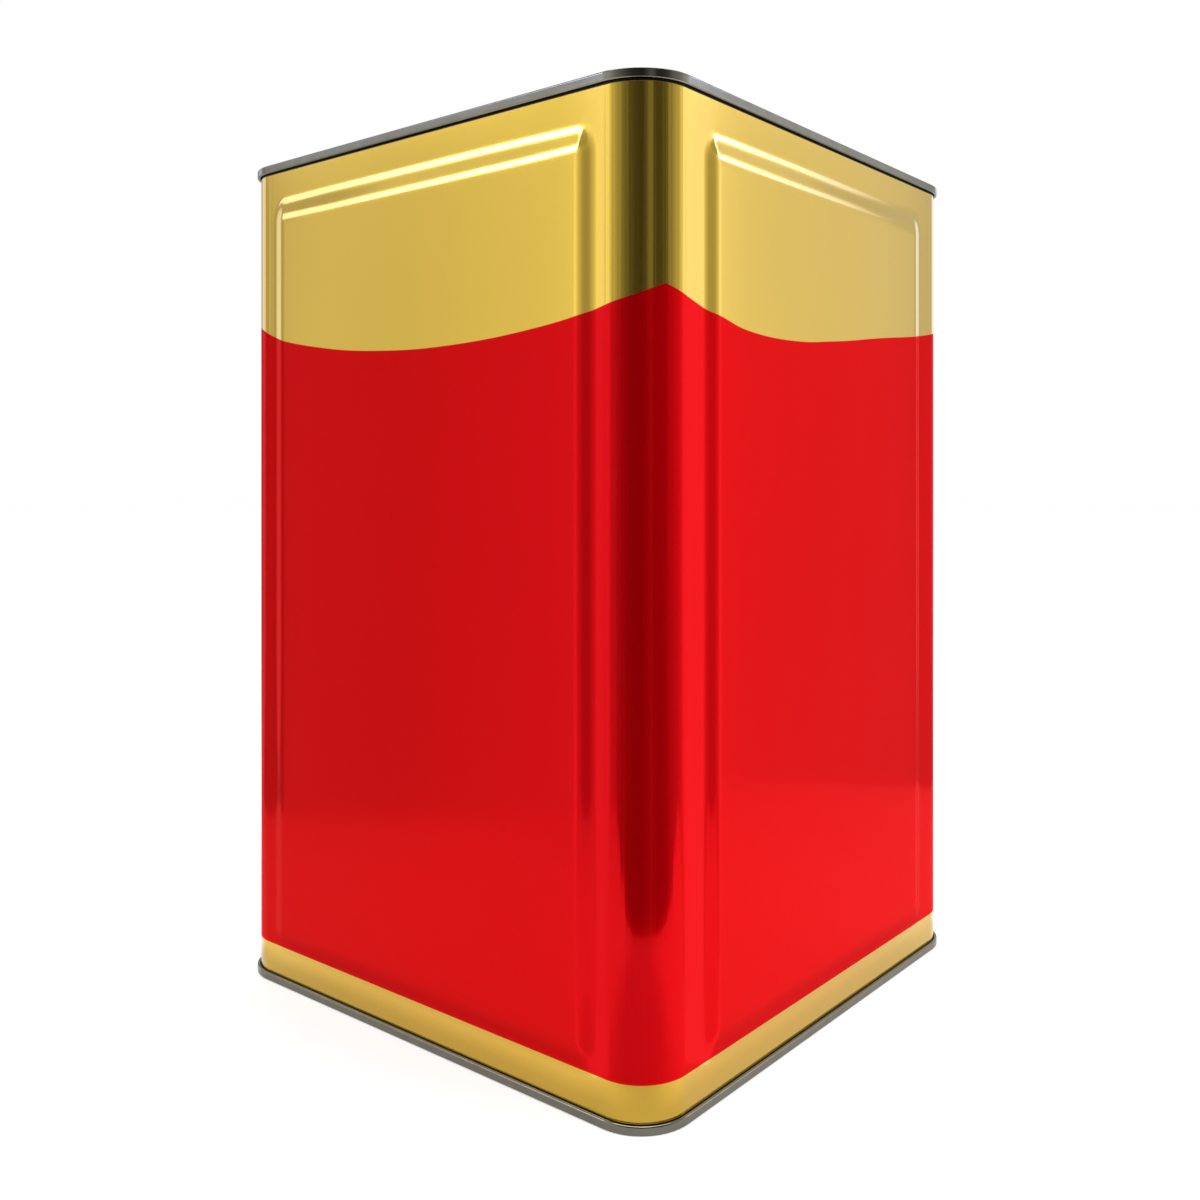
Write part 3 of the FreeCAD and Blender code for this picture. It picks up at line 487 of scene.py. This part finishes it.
def wave_curve(graph, share):
    """Height of the gold and red boundary, as a share of the tin's height, from the share of two walls."""
    node = graph.tree.nodes.new("ShaderNodeFloatCurve")
    curve = node.mapping.curves[0]
    period = 2 * QUARTER
    start = WAVE[0][0]
    marks = []
    for distance, height in WAVE + [(start + period, WAVE[0][1])]:
        x = (distance - start) / period
        y = (height - WAVE_LOW) / (WAVE_HIGH - WAVE_LOW)
        marks.append((x, y, distance in WAVE_PEAKS))
    for x, y, _ in marks[1:-1]:
        curve.points.new(x, y)
    for point, (x, y, pointed) in zip(curve.points, marks):
        point.location = (x, y)
        point.handle_type = "VECTOR" if pointed else "AUTO"
    node.mapping.update()
    join(graph.tree, node.inputs["Value"], share)
    return graph.line(node.outputs[0], WAVE_LOW / TIN_HEIGHT, (WAVE_HIGH - WAVE_LOW) / TIN_HEIGHT)


def print_masks(graph):
    """Where the wall is gold, bare at the weld, bent in a corner or painted dark at a seam as painted shade,
    from 0 to 1 each.
    """
    around, up, _ = graph.split(graph.add("ShaderNodeUVMap", uv_map="print"))
    down = graph.math("MULTIPLY", up, -1.0)

    along_wave = graph.line(around, -WAVE[0][0] / (2 * QUARTER), 2.0)
    wave = wave_curve(graph, graph.math("FRACT", along_wave))
    print_edge = PRINT_EDGE / TIN_HEIGHT
    above = graph.step(graph.math("SUBTRACT", up, wave), 0.0, print_edge)
    below = graph.step(down, -FOOT_BAND / TIN_HEIGHT, print_edge)
    gold = graph.math("MAXIMUM", above, below)

    weld = (WELD_WALL * QUARTER + WELD_ACROSS) / PERIMETER
    from_weld = graph.math("ABSOLUTE", graph.math("SUBTRACT", around, weld))
    bare = graph.inverted(graph.step(from_weld, WELD_MARGIN / PERIMETER, PRINT_EDGE / PERIMETER))

    along_wall = graph.math("FRACT", graph.math("MULTIPLY", around, 4.0))
    from_corner = graph.math("ABSOLUTE", graph.math("SUBTRACT", along_wall, 0.5))
    half_bend = CORNER_RADIUS * math.pi / 4
    bent = graph.inverted(graph.step(from_corner, half_bend / QUARTER, BENT_EDGE / QUARTER))

    # Painted shade: dark bands along the two seams stand in for the crevice shadow
    seam_shade_edge = SHADED_SEAM_EDGE / TIN_HEIGHT
    seam_shade_low = graph.step(down, -SHADED_SEAM_LOW / TIN_HEIGHT, seam_shade_edge)
    seam_shade_high = graph.step(up, 1.0 - SHADED_SEAM_HIGH / TIN_HEIGHT, seam_shade_edge)
    seam_shade = graph.math("MAXIMUM", seam_shade_low, seam_shade_high)
    return gold, bare, bent, seam_shade


def print_material():
    """Lacquered print on tinplate: gold above a wave and along the foot, red between, bare at the weld, with
    painted shade along the seams.
    """
    graph = Graph("printed_tinplate")
    gold, bare, bent, seam_shade = print_masks(graph)
    place = graph.place()
    cloud = graph.noise(place, INK_CLOUD_SCALE)
    grain = graph.noise(place, INK_GRAIN_SCALE)
    sheet_waves = graph.noise(place, SHEET_WAVE_SCALE, 1.0)
    roll_marks = graph.math("MULTIPLY", graph.noise(place, ROLL_MARK_SCALE, 1.0), bent)

    flecks = graph.math("MULTIPLY", grain, GOLD_FLECK_SHARE)
    gold_ink = graph.mix(flecks, graph.tones(cloud, GOLD_INK), colour(GOLD_FLECK))
    ink = graph.mix(gold, graph.tones(cloud, RED_INK), gold_ink)
    ink = graph.mix(bare, ink, colour(BARE_METAL))
    # Painted shade along the seams: near black and not metallic
    ink = graph.mix(seam_shade, ink, colour(SEAM_SHADE_COLOUR))
    metallic = graph.math("MAXIMUM", graph.blend(gold, RED_METALLIC, GOLD_METALLIC), bare)
    metallic = graph.blend(seam_shade, metallic, 0.0)
    height = graph.math("ADD", sheet_waves, graph.math("MULTIPLY", roll_marks, ROLL_MARK_SHARE))
    graph.set(
        Base_Color=ink,
        Metallic=metallic,
        Roughness=graph.line(grain, *PRINT_ROUGH),
        Normal=graph.bump(height, 1.0, PRINT_BUMP),
        Coat_Weight=graph.blend(gold, RED_COAT, GOLD_COAT),
        Coat_Roughness=COAT_ROUGH,
        Specular_IOR_Level=0.0,
        Specular_Tint=graph.tones(gold, (RED_TINT, GOLD_TINT)),
    )
    return graph.material


def tinplate_material():
    """Bare tinplate: satin with a faint spangle; where the seams were rolled it is smoother, and painted
    darker as painted shade.
    """
    graph = Graph("plain_tinplate")
    place = graph.place()
    past_flat = graph.vector("SUBTRACT", graph.vector("ABSOLUTE", place), (FLAT_HALF, FLAT_HALF, TIN_HEIGHT))
    past_flat = graph.vector("LENGTH", graph.vector("MAXIMUM", past_flat), output="Value")
    seam = graph.step(past_flat, CORNER_RADIUS - SEAM_MARGIN, SEAM_MARGIN)
    spangle = graph.noise(place, SPANGLE_SCALE, 3.0)
    rolled = graph.noise(place, ROLLED_SCALE)
    satin_rough = graph.line(spangle, *SATIN_ROUGH)
    burnished_rough = graph.line(rolled, *BURNISHED_ROUGH)
    graph.set(
        # The seams' darker colour is painted shade
        Base_Color=graph.mix(seam, graph.tones(spangle, SATIN_TIN), graph.tones(spangle, SHADED_SEAM_TIN)),
        Metallic=1.0,
        Roughness=graph.blend(seam, satin_rough, burnished_rough),
        Normal=graph.bump(rolled, *ROLLED_BUMP),
    )
    return graph.material


def zinc_material():
    """Bright zinc on the wire, with a slightly uneven bloom."""
    graph = Graph("zinc_wire")
    cloud = graph.noise(graph.place(), ZINC_SCALE)
    graph.set(Base_Color=graph.tones(cloud, ZINC), Metallic=1.0, Roughness=graph.line(cloud, *ZINC_ROUGH))
    return graph.material


def moulded_material(name):
    """Moulded plastic, foam or rubber: a slight colour drift, an uneven gloss and a fine texture."""
    dark, light, rough, texture_scale, texture_depth, scatter = MOULDED[name]
    graph = Graph(name)
    place = graph.place()
    cloud = graph.noise(place, MOULDED_CLOUD_SCALE, 3.0)
    texture = graph.noise(place, texture_scale)
    graph.set(
        Base_Color=graph.tones(cloud, (dark, light)),
        Roughness=graph.line(cloud, rough, MOULDED_ROUGH_ADDED),
        Normal=graph.bump(texture, MOULDED_BUMP, texture_depth),
        Subsurface_Weight=scatter,
        Subsurface_Scale=SCATTER_DEPTH,
    )
    return graph.material


def dress_tin():
    """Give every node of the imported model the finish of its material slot, and draw the wall."""
    finishes = {
        "printed_tinplate": print_material(),
        "plain_tinplate": tinplate_material(),
        "zinc_wire": zinc_material(),
    }
    for name in MOULDED:
        finishes[name] = moulded_material(name)
    for subpart in frame["record"]["subparts"]:
        slots = frame["nodes"][subpart["node"]].data.materials
        slots.clear()
        slots.append(finishes[subpart["material_slot"]])
    make_wall(finishes["printed_tinplate"])


def camera_place():
    """Where the camera stands."""
    back = Vector((math.sin(CAMERA_YAW), -math.cos(CAMERA_YAW), 0))
    right = Vector((math.cos(CAMERA_YAW), math.sin(CAMERA_YAW), 0))
    return back * CAMERA_DISTANCE + right * CAMERA_SIDE + Vector((0, 0, CAMERA_HEIGHT))


def make_camera():
    """The level, shifted camera of the photo."""
    data = bpy.data.cameras.new("photo_camera")
    data.sensor_fit = "HORIZONTAL"
    data.sensor_width = SENSOR_WIDTH
    data.lens = FOCAL_PIXELS / IMAGE_SIZE * SENSOR_WIDTH
    data.shift_x = (IMAGE_SIZE / 2 - CENTRE_PIXEL[0]) / IMAGE_SIZE
    data.shift_y = (CENTRE_PIXEL[1] - IMAGE_SIZE / 2) / IMAGE_SIZE
    data.clip_start = CAMERA_NEAR
    camera = add_object("photo_camera", data)
    camera.location = camera_place()
    camera.rotation_euler = (math.pi / 2, 0, CAMERA_YAW)
    bpy.context.scene.camera = camera


def along(origin, angle, distance, up):
    """A place seen from an origin at an angle, from +X towards +Y."""
    turn = math.radians(angle)
    return Vector((origin[0] + distance * math.cos(turn), origin[1] + distance * math.sin(turn), up))


def seen_level(tree, direct, mirrored, matt):
    """One level for what the camera sees, one for what it sees mirrored, one for light on matt surfaces."""
    path = tree.nodes.new("ShaderNodeLightPath")
    level = matt
    rays = (("Is Transmission Ray", mirrored), ("Is Glossy Ray", mirrored), ("Is Camera Ray", direct))
    for ray, seen in rays:
        switch = tree.nodes.new("ShaderNodeMix")
        join(tree, switch.inputs[0], path.outputs[ray])
        join(tree, switch.inputs[2], level)
        join(tree, switch.inputs[3], seen)
        level = switch.outputs[0]
    return level


def make_world():
    """White where it is seen or mirrored, softer where it lights matt surfaces."""
    world = bpy.data.worlds.new("studio")
    bpy.context.scene.world = world
    world.use_nodes = True
    tree = world.node_tree
    background = tree.nodes["Background"]
    background.inputs["Color"].default_value = WHITE
    join(tree, background.inputs["Strength"], seen_level(tree, 1.0, 1.0, WORLD_LIGHT))


def floor_material():
    """White paint that keeps the tin's shadow, with one level as it is seen and one as the tin mirrors it."""
    graph = Graph("floor_paint")
    place = graph.place()
    far = graph.vector("LENGTH", place, output="Value")
    glow = graph.ramp(far, FLOOR_GLOW_REACH, FLOOR_GLOW)
    mirrored = graph.ramp(far, FLOOR_MIRRORED_REACH, FLOOR_MIRRORED)

    shade = along((FLAT_HALF, -FLAT_HALF), math.degrees(CAMERA_YAW) - 90, FLOOR_SHADE_DISTANCE, 0)
    from_shade = graph.vector("DISTANCE", place, shade, output="Value")
    mirrored = graph.math("MULTIPLY", mirrored, graph.ramp(from_shade, FLOOR_SHADE_REACH, FLOOR_SHADE_SHARE))

    x, y, _ = graph.split(graph.vector("ABSOLUTE", place))
    from_middle = graph.math("MAXIMUM", x, y)
    mirrored = graph.math("MULTIPLY", mirrored, graph.ramp(from_middle, FLOOR_FOOT_REACH, FLOOR_FOOT_SHARE))
    graph.set(
        Base_Color=graph.mix(graph.noise(place, FLOOR_PAINT_SCALE), *FLOOR_PAINT),
        Roughness=FLOOR_ROUGH,
        Specular_IOR_Level=0.0,
        Emission_Color=WHITE,
        Emission_Strength=seen_level(graph.tree, glow, mirrored, 0.0),
    )
    return graph.material


def make_floor():
    """The floor that the tin stands on."""
    half = FLOOR_SIZE / 2
    points = [(-half, -half, 0), (half, -half, 0), (half, half, 0), (-half, half, 0)]
    floor = add_mesh("floor", points, [(0, 1, 2, 3)])
    floor.data.materials.append(floor_material())


def cloth_columns():
    """The cloth's upright lines, closed to a ring: brightness, and places at its rim, bend and top."""
    camera = camera_place()
    parts = [
        ((camera.x, -BODY_WIDTH - camera.y), CLOTH_LEFT),
        ((FLAT_HALF, -FLAT_HALF), CLOTH_FRONT),
        ((BODY_WIDTH - camera.x, camera.y), CLOTH_RIGHT),
    ]
    columns = []
    for origin, (wall, tones) in parts:
        for first, last in zip(tones, tones[1:]):
            for angle in spaced(first[0], last[0], CLOTH_STEP):
                share = (angle - first[0]) / (last[0] - first[0])
                tone, rim = (start + (end - start) * share for start, end in zip(first[1:], last[1:]))
                profile = [(rim, CLOTH_LIFT), (wall, CLOTH_LIFT), (wall, CLOTH_TOP)]
                columns.append((tone, [along(origin, angle, distance, up) for distance, up in profile]))
    return columns + columns[:1]


def strip_columns(marks):
    """One strip's upright lines: brightness, and places at its lower and upper edge."""
    return [(tone, [along((0, 0), angle, distance, up) for up in (low, high)])
            for angle, distance, low, high, tone in marks]


def cloth_material():
    """A glow by the cloth's map, cooler where it is bright and weaker high up."""
    graph = Graph("studio_cloth")
    tone, cool_share, _ = graph.split(graph.add("ShaderNodeUVMap", uv_map="tone"))
    height = graph.split(graph.place())[2]
    full = graph.ramp(height, CLOTH_FADE, (CLOTH_FULL, CLOTH_FULL * CLOTH_FADED))
    bright = graph.ramp(tone, [level / CLOTH_FULL for level in COOL_LEVELS], (0.0, 1.0))
    cool = graph.math("MULTIPLY", bright, cool_share)
    graph.set(
        Base_Color=BLACK,
        Specular_IOR_Level=0.0,
        Emission_Color=graph.mix(cool, WHITE, COOL_WHITE),
        Emission_Strength=graph.math("MULTIPLY", tone, full),
    )
    return graph.material


def make_cloth():
    """A graded cloth around the floor and bright strips before it, seen only as reflections."""
    ribbons = [(cloth_columns(), CLOTH_COOL_SHARE)]
    ribbons += [(strip_columns(marks), STRIP_COOL_SHARE) for marks in STRIPS]
    points, faces, corners = [], [], []
    for columns, cool in ribbons:
        start, count = len(points), len(columns[0][1])
        points += [place for _, places in columns for place in places]
        for index in range(len(columns) - 1):
            here, there = columns[index][0] / CLOTH_FULL, columns[index + 1][0] / CLOTH_FULL
            for step in range(count - 1):
                first = start + index * count + step
                faces.append((first, first + count, first + count + 1, first + 1))
                corners += [(here, cool), (there, cool), (there, cool), (here, cool)]
    cloth = add_mesh("studio_cloth", points, faces)
    map_corners(cloth, "tone", corners)
    cloth.data.materials.append(cloth_material())
    cloth.visible_camera = False
    cloth.visible_shadow = False
    cloth.visible_diffuse = False


def add_fill(name, place, aim, watts):
    """A square soft light that faces a point."""
    data = bpy.data.lights.new(name, "AREA")
    data.size = FILL_SIZE
    data.energy = watts
    lamp = add_object(name, data)
    lamp.location = place
    lamp.rotation_euler = (Vector(aim) - Vector(place)).to_track_quat("-Z", "Y").to_euler()
    return lamp


def make_studio():
    """World, floor, cloth and two soft lights. The light at the right isn't mirrored, the one above is."""
    make_world()
    make_floor()
    make_cloth()
    right = along((0, 0), FILL_RIGHT_ANGLE, FILL_RIGHT_DISTANCE, FILL_RIGHT_HEIGHT)
    fill_right = add_fill("fill_right", right, FILL_RIGHT_AIM, FILL_RIGHT_WATTS)
    fill_right.visible_glossy = False
    add_fill("fill_top", (0, 0, FILL_TOP_HEIGHT), (0, 0, 0), FILL_TOP_WATTS)


dress_tin()
make_camera()
make_studio()
bpy.context.scene.view_settings.view_transform = "Standard"
